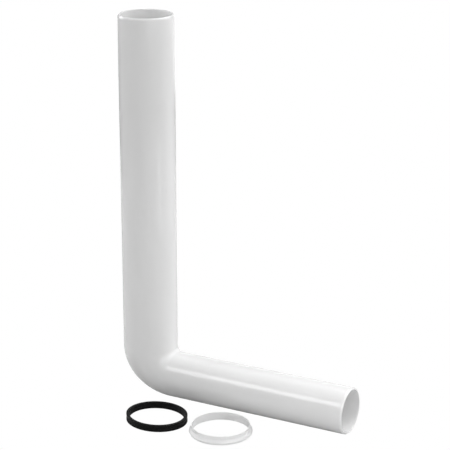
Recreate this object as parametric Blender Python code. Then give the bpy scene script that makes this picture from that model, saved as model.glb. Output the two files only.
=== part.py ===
"""Toilet flush bend: a moulded 90 degree pipe, and the two loose rings that go on its inlet.

The pipe stands on the underside of its outlet leg, with the inlet leg upright. The rings lie flat in
front of it. +Z is up and +X runs along the outlet leg. The origin is the middle of the set's footprint.
"""
from math import cos, hypot, pi, radians, sin

import bmesh
import bpy
from mathutils import Matrix, Vector

# Driving dimensions of the pipe, in metres
HEIGHT = 0.355  # floor to the inlet's rim
REACH = 0.203  # inlet's axis to the outlet's rim
INLET_OD = 0.050
OUTLET_OD = 0.042
WALL = 0.002
BEND_RADIUS = 0.026  # of the centreline
RIM_CHAMFER_LENGTH = 0.0015  # along the pipe
RIM_CHAMFER_DEPTH = 0.001  # into the wall

# Rubber seal ring: the mean diameters, and how far it has relaxed into an oval
SEAL_OD = 0.0543
SEAL_ID = 0.0497
SEAL_HEIGHT = 0.0061
SEAL_OVAL = 0.0015  # half the long axis less the mean radius
SEAL_OVAL_ANGLE = radians(-8.6)
SEAL_EDGE = 0.0005
SEAL_WAIST = 0.0003  # depth of the hollow in the outer wall

# Plastic friction ring: a flange at the base, a flank, and a thin collar
FRICTION_BASE_OD = 0.056
FRICTION_COLLAR_OD = 0.0517
FRICTION_BORE = 0.0505
FRICTION_HEIGHT = 0.0074
FRICTION_FLANGE = 0.0022  # height of the flange
FRICTION_COLLAR = 0.0032  # height of the collar
FRICTION_EDGE = 0.0008  # chamfer under the flange
FRICTION_LEAD_IN = 0.0005  # chamfer at the foot of the bore

# Where the rings lie, from the foot of the inlet's axis
SEAL_PLACE = Vector((0.0386, -0.0559, 0))
FRICTION_PLACE = Vector((0.1015, -0.0518, 0))

# Colours are linear RGB
WHITE = (0.86, 0.86, 0.85)
TRANSLUCENT_WHITE = (0.82, 0.82, 0.81)
BLACK = (0.008, 0.008, 0.008)

SIDES = 64
BEND_STEPS = 18
LOOSE_RING_SIDES = 64
SHARP_ANGLE = radians(30)

INLET_R = INLET_OD / 2
OUTLET_R = OUTLET_OD / 2
SEAL_LONG_R = SEAL_OD / 2 + SEAL_OVAL
SEAL_SHORT_R = SEAL_OD / 2 - SEAL_OVAL
SEAL_DEPTH_R = hypot(SEAL_LONG_R * sin(SEAL_OVAL_ANGLE), SEAL_SHORT_R * cos(SEAL_OVAL_ANGLE))
FRONT = SEAL_PLACE.y - SEAL_DEPTH_R  # the seal ring comes furthest forward
INLET_AXIS = Vector(((INLET_R - REACH) / 2, -(INLET_R + FRONT) / 2, 0))


def clear_scene():
    for obj in list(bpy.data.objects):
        bpy.data.objects.remove(obj, do_unlink=True)


def make_material(name, colour, roughness):
    material = bpy.data.materials.new(name)
    material.use_nodes = True
    shader = material.node_tree.nodes["Principled BSDF"]
    shader.inputs["Base Color"].default_value = (*colour, 1)
    shader.inputs["Roughness"].default_value = roughness
    shader.inputs["Metallic"].default_value = 0
    return material


def make_object(name, bm, place, material):
    bmesh.ops.recalc_face_normals(bm, faces=bm.faces)
    mesh = bpy.data.meshes.new(name)
    bm.to_mesh(mesh)
    bm.free()
    mesh.shade_smooth()
    mesh.set_sharp_from_angle(angle=SHARP_ANGLE)
    mesh.materials.append(material)
    obj = bpy.data.objects.new(name, mesh)
    obj.location = place
    bpy.context.collection.objects.link(obj)
    return obj


def station(x, z, heading, radius):
    """A circle across the pipe. The heading is 0 going down and a right angle going along +X."""
    frame = Matrix.Translation((x, 0, z)) @ Matrix.Rotation(-heading, 4, "Y")
    return frame, radius


def skin_stations(inset, rim_depth):
    """The circles of one skin of the pipe, from the inlet to the outlet."""
    bend_top = OUTLET_R + BEND_RADIUS
    inlet_r = INLET_R - inset
    outlet_r = OUTLET_R - inset
    stations = [station(0, HEIGHT, 0, inlet_r - rim_depth)]
    if rim_depth:
        stations.append(station(0, HEIGHT - RIM_CHAMFER_LENGTH, 0, inlet_r))
    for step in range(BEND_STEPS + 1):
        share = step / BEND_STEPS
        heading = share * pi / 2
        narrowing = share * share * (3 - 2 * share)
        radius = inlet_r + (outlet_r - inlet_r) * narrowing
        x = BEND_RADIUS * (1 - cos(heading))
        z = bend_top - BEND_RADIUS * sin(heading)
        stations.append(station(x, z, heading, radius))
    if rim_depth:
        stations.append(station(REACH - RIM_CHAMFER_LENGTH, OUTLET_R, pi / 2, outlet_r))
    stations.append(station(REACH, OUTLET_R, pi / 2, outlet_r - rim_depth))
    return stations


def make_flush_bend():
    outside = skin_stations(0, RIM_CHAMFER_DEPTH)
    inside = skin_stations(WALL, 0)
    bm = bmesh.new()
    loops = []
    for frame, radius in outside + inside[::-1]:
        circle = bmesh.ops.create_circle(bm, segments=SIDES, radius=radius, matrix=frame)
        loops.append({edge for vert in circle["verts"] for edge in vert.link_edges})
    for this, following in zip(loops, loops[1:] + loops[:1]):
        bmesh.ops.bridge_loops(bm, edges=list(this | following))
    return make_object("flush_bend", bm, INLET_AXIS, make_material("gloss_white_plastic", WHITE, 0.25))


def turn(profile):
    """Turn a closed outline of (radius, height) points about Z."""
    bm = bmesh.new()
    verts = [bm.verts.new((radius, 0, height)) for radius, height in profile]
    edges = [bm.edges.new((verts[i - 1], verts[i])) for i in range(len(verts))]
    bmesh.ops.spin(
        bm,
        geom=verts + edges,
        axis=(0, 0, 1),
        angle=2 * pi,
        steps=LOOSE_RING_SIDES,
        use_merge=True,
    )
    return bm


def make_seal_ring():
    outer = SEAL_OD / 2
    inner = SEAL_ID / 2
    profile = [
        (inner + SEAL_EDGE, 0),
        (outer - SEAL_EDGE, 0),
        (outer, SEAL_EDGE),
        (outer, SEAL_HEIGHT * 0.25),
        (outer - SEAL_WAIST, SEAL_HEIGHT * 0.4),
        (outer - SEAL_WAIST, SEAL_HEIGHT * 0.6),
        (outer, SEAL_HEIGHT * 0.75),
        (outer, SEAL_HEIGHT - SEAL_EDGE),
        (outer - SEAL_EDGE, SEAL_HEIGHT),
        (inner + SEAL_EDGE, SEAL_HEIGHT),
        (inner, SEAL_HEIGHT - SEAL_EDGE),
        (inner, SEAL_EDGE),
    ]
    bm = turn(profile)
    stretch = SEAL_OVAL / outer
    bmesh.ops.scale(bm, vec=(1 + stretch, 1 - stretch, 1), verts=bm.verts)
    bmesh.ops.rotate(bm, matrix=Matrix.Rotation(SEAL_OVAL_ANGLE, 3, "Z"), verts=bm.verts)
    place = INLET_AXIS + SEAL_PLACE
    return make_object("seal_ring", bm, place, make_material("black_rubber", BLACK, 0.6))


def make_friction_ring():
    base = FRICTION_BASE_OD / 2
    collar = FRICTION_COLLAR_OD / 2
    bore = FRICTION_BORE / 2
    collar_foot = FRICTION_HEIGHT - FRICTION_COLLAR
    profile = [
        (bore + FRICTION_LEAD_IN, 0),
        (base - FRICTION_EDGE, 0),
        (base, FRICTION_EDGE),
        (base, FRICTION_FLANGE),
        (collar, collar_foot),
        (collar, FRICTION_HEIGHT),
        (bore, FRICTION_HEIGHT),
        (bore, FRICTION_LEAD_IN),
    ]
    place = INLET_AXIS + FRICTION_PLACE
    material = make_material("translucent_white_plastic", TRANSLUCENT_WHITE, 0.4)
    return make_object("friction_ring", turn(profile), place, material)


clear_scene()
make_flush_bend()
make_seal_ring()
make_friction_ring()
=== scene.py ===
"""Looks of the toilet flush bend and its two loose rings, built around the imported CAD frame.

Every piece replaces the CAD node of the same shape with a finer mesh: rounded rims, a soft inner
corner at the elbow, a flash line on the rubber. Sizes are in metres, places come from the frame.
"""
from math import cos, pi, radians, sin, tau

import bmesh
import bpy
from mathutils import Matrix, Vector


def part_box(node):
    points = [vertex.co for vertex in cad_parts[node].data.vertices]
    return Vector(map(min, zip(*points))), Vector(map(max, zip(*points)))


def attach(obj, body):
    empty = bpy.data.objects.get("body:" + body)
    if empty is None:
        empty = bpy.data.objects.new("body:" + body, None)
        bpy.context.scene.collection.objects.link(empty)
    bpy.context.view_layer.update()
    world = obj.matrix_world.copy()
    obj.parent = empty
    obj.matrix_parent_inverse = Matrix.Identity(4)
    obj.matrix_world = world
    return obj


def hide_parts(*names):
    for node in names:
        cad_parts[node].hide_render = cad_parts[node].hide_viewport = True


MM = 0.001

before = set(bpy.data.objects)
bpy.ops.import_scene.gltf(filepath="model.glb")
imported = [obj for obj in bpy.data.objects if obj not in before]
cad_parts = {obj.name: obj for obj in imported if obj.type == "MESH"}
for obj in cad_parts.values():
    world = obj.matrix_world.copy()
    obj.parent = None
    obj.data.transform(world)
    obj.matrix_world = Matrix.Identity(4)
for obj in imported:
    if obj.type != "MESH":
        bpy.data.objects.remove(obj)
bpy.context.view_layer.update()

# ---------------------------------------------------------------- sizes, beyond what the frame's boxes give
OUTLET_OD = 42 * MM
WALL = 2 * MM
BEND_RADIUS = 26 * MM
CORNER_RADIUS = 3 * MM  # rounding of the inner corner between the legs
RIM_CHAMFER_LENGTH = 1.5 * MM
RIM_CHAMFER_DEPTH = 1.0 * MM
RIM_ROUNDING = 0.25 * MM
RIM_GROOVE_WIDTH = 0.5 * MM
RIM_GROOVE_DEPTH = 0.2 * MM

SEAL_WALL = 2.6 * MM
SEAL_WAIST = 0.3 * MM  # how far the middle of the outside is drawn in
SEAL_FLASH = 0.12 * MM
SEAL_ROUNDING = 0.25 * MM
SEAL_OVAL = 1.5 * MM
SEAL_OVAL_ANGLE = radians(-8.6)
SEAL_OD = 54.28 * MM  # just inside the CAD ring

FRICTION_COLLAR_OD = 51.7 * MM
FRICTION_BORE = 50.5 * MM
FRICTION_FOOT = 0.8 * MM  # the bevel under the wide end
FRICTION_LEAD_IN = 0.5 * MM
FRICTION_FLANGE_TOP = 2.2 * MM
FRICTION_CONE_TOP = 4.2 * MM
FRICTION_ROUNDING = 0.3 * MM

PIPE_SIDES = 160
RING_SIDES = 160
LEG_STEPS = 14
BEND_STEPS = 44
CORNER_STEPS = 4

FLOOR_GAP = 0.2 * MM  # keeps the floor and the table clear of the undersides
LIGHT_AIM_HEIGHT = 0.12
CAMERA_LENS = 127.4  # in millimetres, on a 36 mm sensor
CAMERA_TURN = radians(28.1)  # from straight ahead toward the outlet
CAMERA_PITCH = radians(17.79)
CAMERA_DISTANCE = 1.4069
CAMERA_AIM_ALONG = 0.07806  # from the inlet's axis
CAMERA_AIM_HEIGHT = 0.17363

pipe_low, pipe_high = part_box("flush_bend")
INLET_R = (pipe_high.y - pipe_low.y) / 2
OUTLET_R = OUTLET_OD / 2
INLET_X = pipe_low.x + INLET_R
PIPE_Y = (pipe_low.y + pipe_high.y) / 2
PIPE_TOP = pipe_high.z
PIPE_END = pipe_high.x
ALONG = Vector((1, 0, 0))  # the way the outlet leg runs
UP = Vector((0, 0, 1))  # the way the inlet leg runs


# ---------------------------------------------------------------- node helpers
class Shader:
    """A Principled material and short ways to add procedural nodes to it."""

    def __init__(self, name, **sockets):
        self.material = bpy.data.materials.new(name)
        self.material.use_nodes = True
        self.nodes = self.material.node_tree.nodes
        self.links = self.material.node_tree.links
        self.bsdf = self.nodes["Principled BSDF"]
        for socket, value in sockets.items():
            self.bsdf.inputs[socket.replace("_", " ")].default_value = value
        self.place = self.nodes.new("ShaderNodeTexCoord").outputs["Object"]

    def stretched(self, scale):
        mapping = self.nodes.new("ShaderNodeMapping")
        mapping.inputs["Scale"].default_value = scale
        self.links.new(self.place, mapping.inputs["Vector"])
        return mapping.outputs["Vector"]

    def noise(self, size, detail=2.0, roughness=0.5, vector=None):
        """Noise whose features are about size across."""
        node = self.nodes.new("ShaderNodeTexNoise")
        node.inputs["Scale"].default_value = 1 / size
        node.inputs["Detail"].default_value = detail
        node.inputs["Roughness"].default_value = roughness
        self.links.new(vector or self.place, node.inputs["Vector"])
        return node.outputs["Fac"]

    def remap(self, value, low, high, to_low, to_high):
        node = self.nodes.new("ShaderNodeMapRange")
        for index, number in enumerate((low, high, to_low, to_high), start=1):
            node.inputs[index].default_value = number
        self.links.new(value, node.inputs["Value"])
        return node.outputs["Result"]

    def mix(self, factor, colour_a, colour_b):
        node = self.nodes.new("ShaderNodeMix")
        node.data_type = "RGBA"
        node.inputs["A"].default_value = (*colour_a, 1)
        node.inputs["B"].default_value = (*colour_b, 1)
        self.links.new(factor, node.inputs["Factor"])
        return node.outputs["Result"]

    def bump(self, height, distance, strength=1.0, normal=None):
        node = self.nodes.new("ShaderNodeBump")
        node.inputs["Distance"].default_value = distance
        node.inputs["Strength"].default_value = strength
        self.links.new(height, node.inputs["Height"])
        if normal is not None:
            self.links.new(normal, node.inputs["Normal"])
        return node.outputs["Normal"]

    def feed(self, socket, output):
        self.links.new(output, self.bsdf.inputs[socket])


def gloss_white_plastic():
    """Opaque white plastic as it leaves the mould: smooth, with a faint long wave in its surface."""
    shader = Shader(
        "gloss_white_plastic",
        IOR=1.54,
        Subsurface_Weight=0.2,
        Subsurface_Radius=(1.0, 1.0, 1.0),
        Subsurface_Scale=1.5 * MM,
    )
    tint = shader.noise(35 * MM, detail=3)
    shader.feed("Base Color", shader.mix(tint, (0.86, 0.86, 0.86), (0.89, 0.89, 0.89)))
    shader.feed("Roughness", shader.remap(shader.noise(9 * MM, detail=4), 0.3, 0.7, 0.13, 0.18))
    wave = shader.bump(shader.noise(14 * MM, detail=1), 0.02 * MM)
    grain = shader.bump(shader.noise(0.7 * MM, detail=3), 0.003 * MM, normal=wave)
    shader.feed("Normal", grain)
    return shader.material


def black_rubber():
    """Moulded rubber: black, satin, finely grained, with a little grey bloom."""
    shader = Shader("black_rubber", IOR=1.5, Specular_IOR_Level=0.15)
    bloom = shader.remap(shader.noise(4 * MM, detail=5, roughness=0.65), 0.45, 0.75, 0, 1)
    shader.feed("Base Color", shader.mix(bloom, (0.003, 0.003, 0.003), (0.007, 0.007, 0.007)))
    shader.feed("Roughness", shader.remap(shader.noise(1.5 * MM, detail=4), 0.3, 0.7, 0.42, 0.6))
    shader.feed("Normal", shader.bump(shader.noise(0.35 * MM, detail=4, roughness=0.6), 0.02 * MM))
    return shader.material


def translucent_white_plastic():
    """Natural polythene: milky, lets light through its thin collar."""
    shader = Shader(
        "translucent_white_plastic",
        IOR=1.51,
        Subsurface_Weight=0.4,
        Subsurface_Radius=(1.0, 1.0, 1.0),
        Subsurface_Scale=2 * MM,
        Transmission_Weight=0.4,
    )
    tint = shader.noise(12 * MM, detail=2)
    shader.feed("Base Color", shader.mix(tint, (0.93, 0.93, 0.93), (0.96, 0.96, 0.96)))
    shader.feed("Roughness", shader.remap(shader.noise(3 * MM, detail=4), 0.3, 0.7, 0.3, 0.42))
    turning_marks = shader.noise(0.5 * MM, detail=2, vector=shader.stretched((0.05, 0.05, 1)))
    shader.feed("Normal", shader.bump(turning_marks, 0.01 * MM))
    return shader.material


# ---------------------------------------------------------------- mesh helpers
def skin(name, loops, material):
    """A closed body: each loop of points is joined to the next, and the last to the first."""
    bm = bmesh.new()
    rows = [[bm.verts.new(point) for point in loop] for loop in loops]
    for this, following in zip(rows, rows[1:] + rows[:1]):
        for i in range(len(this)):
            bm.faces.new((this[i - 1], this[i], following[i], following[i - 1]))
    bmesh.ops.recalc_face_normals(bm, faces=bm.faces)
    mesh = bpy.data.meshes.new(name)
    bm.to_mesh(mesh)
    bm.free()
    mesh.shade_smooth()
    mesh.materials.append(material)
    obj = bpy.data.objects.new(name, mesh)
    bpy.context.scene.collection.objects.link(obj)
    return obj


def rounded(outline, radius):
    """A closed outline of (a, b) points with its corners rounded by short arcs."""
    points = [Vector(point) for point in outline]
    result = []
    for i, corner in enumerate(points):
        before = points[i - 1] - corner
        after = points[(i + 1) % len(points)] - corner
        reach = min(radius, before.length * 0.45, after.length * 0.45)
        start = corner + before.normalized() * reach
        end = corner + after.normalized() * reach
        for step in range(CORNER_STEPS + 1):
            t = step / CORNER_STEPS
            result.append((1 - t) ** 2 * start + 2 * t * (1 - t) * corner + t * t * end)
    return result


# ---------------------------------------------------------------- the pipe
def smoothstep(share):
    """A share from 0 to 1 that starts and ends gently."""
    return share * share * (3 - 2 * share)


def pipe_sections(inset):
    """(centre, reach, radius) of the sections between the rims, set in from the outer wall.

    reach runs from the centre to the wall in the plane of the two legs, on the inner side of the bend.
    radius is the distance to the wall at right angles to that plane.
    """
    bend_top = OUTLET_R + BEND_RADIUS
    leg_start = INLET_X + BEND_RADIUS
    pivot = Vector((leg_start, PIPE_Y, bend_top))
    corner_pivot = Vector((INLET_X + INLET_R + CORNER_RADIUS, PIPE_Y, OUTLET_OD + CORNER_RADIUS))
    sections = []
    for step in range(1, LEG_STEPS):
        z = PIPE_TOP + (bend_top - PIPE_TOP) * step / LEG_STEPS
        radius = INLET_R - inset
        sections.append((Vector((INLET_X, PIPE_Y, z)), ALONG * radius, radius))
    for step in range(BEND_STEPS + 1):
        share = step / BEND_STEPS
        heading = share * pi / 2
        across = ALONG * cos(heading) + UP * sin(heading)
        radius = INLET_R + (OUTLET_R - INLET_R) * smoothstep(share)
        inner = corner_pivot - across * (CORNER_RADIUS + inset)
        outer = pivot - across * (BEND_RADIUS + radius - inset)
        sections.append(((inner + outer) / 2, (inner - outer) / 2, radius - inset))
    for step in range(1, LEG_STEPS):
        x = leg_start + (PIPE_END - leg_start) * step / LEG_STEPS
        radius = OUTLET_R - inset
        sections.append((Vector((x, PIPE_Y, OUTLET_R)), UP * radius, radius))
    return sections


def pipe_loop(centre, reach, radius):
    """A loop of points round the pipe's wall."""
    side = Vector((0, radius, 0))
    points = []
    for i in range(PIPE_SIDES):
        angle = tau * i / PIPE_SIDES
        points.append(centre + reach * cos(angle) + side * sin(angle))
    return points


def rim_loops(foot_of_chamfer, across, outward, outer_r):
    """Loops over an end's rim, from the outer wall over the groove, the chamfer and the flat to the bore.

    The outline's first and last points are only there to round their neighbours, and are left off again.
    """
    inner_r = outer_r - WALL
    wall_behind = -3 * RIM_CHAMFER_LENGTH
    outline = [
        (outer_r, wall_behind),
        (outer_r, -RIM_GROOVE_WIDTH),
        (outer_r - RIM_GROOVE_DEPTH, -RIM_GROOVE_WIDTH / 2),
        (outer_r, 0),
        (outer_r - RIM_CHAMFER_DEPTH, RIM_CHAMFER_LENGTH),
        (inner_r, RIM_CHAMFER_LENGTH),
        (inner_r, wall_behind),
    ]
    corners = rounded(outline, RIM_ROUNDING)[CORNER_STEPS + 1:-CORNER_STEPS - 1]
    return [pipe_loop(foot_of_chamfer + outward * rise, across * r, r) for r, rise in corners]


def build_pipe():
    outside = [pipe_loop(*section) for section in pipe_sections(0)]
    inside = [pipe_loop(*section) for section in pipe_sections(WALL)]
    inlet = Vector((INLET_X, PIPE_Y, PIPE_TOP - RIM_CHAMFER_LENGTH))
    outlet = Vector((PIPE_END - RIM_CHAMFER_LENGTH, PIPE_Y, OUTLET_R))
    inlet_rim = rim_loops(inlet, ALONG, UP, INLET_R)
    outlet_rim = rim_loops(outlet, UP, ALONG, OUTLET_R)
    loops = outside + outlet_rim + inside[::-1] + inlet_rim[::-1]
    return skin("flush_bend_pipe", loops, gloss_white_plastic())


# ---------------------------------------------------------------- the rings
def turned(outline, centre, warp=None):
    """Loops of an outline of (radius, height) points turned about the vertical through centre."""
    loops = []
    for i in range(RING_SIDES):
        angle = tau * i / RING_SIDES
        loop = []
        for radius, height in outline:
            point = Vector((radius * cos(angle), radius * sin(angle), height))
            loop.append(centre + (warp(point) if warp else point))
        loops.append(loop)
    return loops


def foot_and_height(node):
    """The middle of a node's underside, and how tall the node is."""
    low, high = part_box(node)
    return Vector(((low.x + high.x) / 2, (low.y + high.y) / 2, low.z)), high.z - low.z


def build_seal_ring():
    centre, height = foot_and_height("seal_ring")
    outer = SEAL_OD / 2
    inner = outer - SEAL_WALL
    middle = height / 2
    outline = rounded(
        [
            (inner, 0),
            (outer, 0),
            (outer, height * 0.25),
            (outer - SEAL_WAIST, height * 0.4),
            (outer - SEAL_WAIST, height * 0.6),
            (outer, height * 0.75),
            (outer, height),
            (inner, height),
            (inner, middle + SEAL_FLASH),
            (inner - SEAL_FLASH, middle),
            (inner, middle - SEAL_FLASH),
        ],
        SEAL_ROUNDING,
    )
    long_axis = Matrix.Rotation(SEAL_OVAL_ANGLE, 3, "Z")
    stretch = SEAL_OVAL / outer
    oval = long_axis @ Matrix.Diagonal((1 + stretch, 1 - stretch, 1))
    return skin("seal_ring_rubber", turned(outline, centre, lambda p: oval @ p), black_rubber())


def build_friction_ring():
    centre, height = foot_and_height("friction_ring")
    low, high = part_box("friction_ring")
    base = (high.x - low.x) / 2
    collar = FRICTION_COLLAR_OD / 2
    bore = FRICTION_BORE / 2
    outline = rounded(
        [
            (bore + FRICTION_LEAD_IN, 0),
            (base - FRICTION_FOOT, 0),
            (base, FRICTION_FOOT),
            (base, FRICTION_FLANGE_TOP),
            (collar, FRICTION_CONE_TOP),
            (collar, height),
            (bore, height),
            (bore, FRICTION_LEAD_IN),
        ],
        FRICTION_ROUNDING,
    )
    return skin("friction_ring_plastic", turned(outline, centre), translucent_white_plastic())


def take_over(piece, node):
    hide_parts(node)
    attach(piece, node)


take_over(build_pipe(), "flush_bend")
take_over(build_seal_ring(), "seal_ring")
take_over(build_friction_ring(), "friction_ring")


# ---------------------------------------------------------------- floor, lights, camera
def plain(name, colour, emission):
    """A matt grey of one even tone, which may also glow white."""
    material = bpy.data.materials.new(name)
    material.use_nodes = True
    shader = material.node_tree.nodes["Principled BSDF"]
    shader.inputs["Base Color"].default_value = (colour, colour, colour, 1)
    shader.inputs["Roughness"].default_value = 1
    shader.inputs["Specular IOR Level"].default_value = 0
    shader.inputs["Emission Color"].default_value = (1, 1, 1, 1)
    shader.inputs["Emission Strength"].default_value = emission
    return material


def stage(name, size, material, **visible):
    """Part of the studio: a box standing on the floor level, or a flat sheet when its height is 0."""
    bm = bmesh.new()
    if size[2]:
        bmesh.ops.create_cube(bm, size=1)
        bmesh.ops.translate(bm, verts=bm.verts, vec=(0, 0, 0.5))
    else:
        bmesh.ops.create_grid(bm, x_segments=1, y_segments=1, size=0.5)
    bmesh.ops.scale(bm, verts=bm.verts, vec=(size[0], size[1], size[2] or 1))
    mesh = bpy.data.meshes.new(name)
    bm.to_mesh(mesh)
    bm.free()
    mesh.materials.append(material)
    obj = bpy.data.objects.new(name, mesh)
    obj.location.z = -FLOOR_GAP
    for ray, shown in visible.items():
        setattr(obj, "visible_" + ray, shown)
    bpy.context.scene.collection.objects.link(obj)


def build_studio():
    """A white room that only the camera sees, and a white table that only the light sees."""
    stage(
        "floor",
        (12, 12, 8),
        plain("pale_floor", 0.0, 1.0),
        diffuse=False,
        glossy=False,
        shadow=False,
    )
    stage("table", (1.6, 1.6, 0), plain("white_table", 0.55, 0.0), camera=False, transmission=False)


def build_world():
    """Light by height: a bright ceiling and a darker room round the table."""
    world = bpy.data.worlds.new("studio")
    bpy.context.scene.world = world
    world.use_nodes = True
    nodes = world.node_tree.nodes
    links = world.node_tree.links
    background = nodes["Background"]
    place = nodes.new("ShaderNodeTexCoord").outputs["Generated"]
    split = nodes.new("ShaderNodeSeparateXYZ")
    links.new(place, split.inputs[0])
    ramp = nodes.new("ShaderNodeValToRGB")
    height = nodes.new("ShaderNodeMapRange")
    height.inputs["From Min"].default_value = -1
    links.new(split.outputs["Z"], height.inputs["Value"])
    links.new(height.outputs["Result"], ramp.inputs["Fac"])
    # (share of the way from straight down to straight up, brightness)
    stops = [(0.47, 0.2), (0.53, 0.08), (0.62, 0.08), (0.68, 0.24), (0.82, 0.2), (0.88, 0.42)]
    while len(ramp.color_ramp.elements) < len(stops):
        ramp.color_ramp.elements.new(0.5)
    for element, (position, level) in zip(ramp.color_ramp.elements, stops):
        element.position = position
        element.color = (level, level, level, 1)
    links.new(ramp.outputs["Color"], background.inputs["Color"])
    background.inputs["Strength"].default_value = 1.0


def softbox(name, azimuth, elevation, size, power, distance=2.2):
    """A rectangular light that faces the middle of the object.

    The angles are in degrees, and azimuth runs from +X toward +Y.
    """
    aim = UP * LIGHT_AIM_HEIGHT
    azimuth, elevation = radians(azimuth), radians(elevation)
    toward = Vector((cos(elevation) * cos(azimuth), cos(elevation) * sin(azimuth), sin(elevation)))
    light = bpy.data.lights.new(name, "AREA")
    light.shape = "RECTANGLE"
    light.size, light.size_y = size
    light.energy = power
    obj = bpy.data.objects.new(name, light)
    obj.location = aim + toward * distance
    obj.rotation_euler = toward.to_track_quat("Z", "Y").to_euler()
    obj.visible_camera = False
    bpy.context.scene.collection.objects.link(obj)


def build_lights():
    softbox("front_right", -40, 20, (0.5, 0.33), 1.6, distance=0.8)
    softbox("front_top", -60, 62, (1.2, 1.0), 1.5)
    softbox("front_left", -121, 37, (0.85, 0.7), 8)
    softbox("outlet", -15, -8, (0.1, 0.1), 0.06, distance=0.4)
    softbox("right", 0, 50, (1.4, 1.1), 4)
    softbox("low_back_right", 45, 20, (1.4, 0.9), 7)
    softbox("back_right", 45, 50, (1.4, 1.1), 17)
    softbox("back", 80, 62, (1.6, 1.3), 7)
    softbox("back_left", 135, 50, (1.4, 1.1), 3)
    softbox("wall", 100, 4, (4.8, 1.0), 12)
    softbox("left", 180, 20, (1.4, 0.9), 18)


def build_camera():
    camera = bpy.data.cameras.new("camera")
    camera.lens = CAMERA_LENS
    camera.sensor_width = 36
    camera.clip_end = 50
    obj = bpy.data.objects.new("camera", camera)
    bpy.context.scene.collection.objects.link(obj)
    aim = Vector((INLET_X + CAMERA_AIM_ALONG, PIPE_Y, CAMERA_AIM_HEIGHT))
    level = Vector((sin(CAMERA_TURN), -cos(CAMERA_TURN), 0))
    back = level * cos(CAMERA_PITCH) + UP * sin(CAMERA_PITCH)
    obj.location = aim + back * CAMERA_DISTANCE
    obj.rotation_euler = back.to_track_quat("Z", "Y").to_euler()
    bpy.context.scene.camera = obj


build_studio()
build_world()
build_lights()
build_camera()

bpy.context.scene.view_settings.view_transform = "Standard"
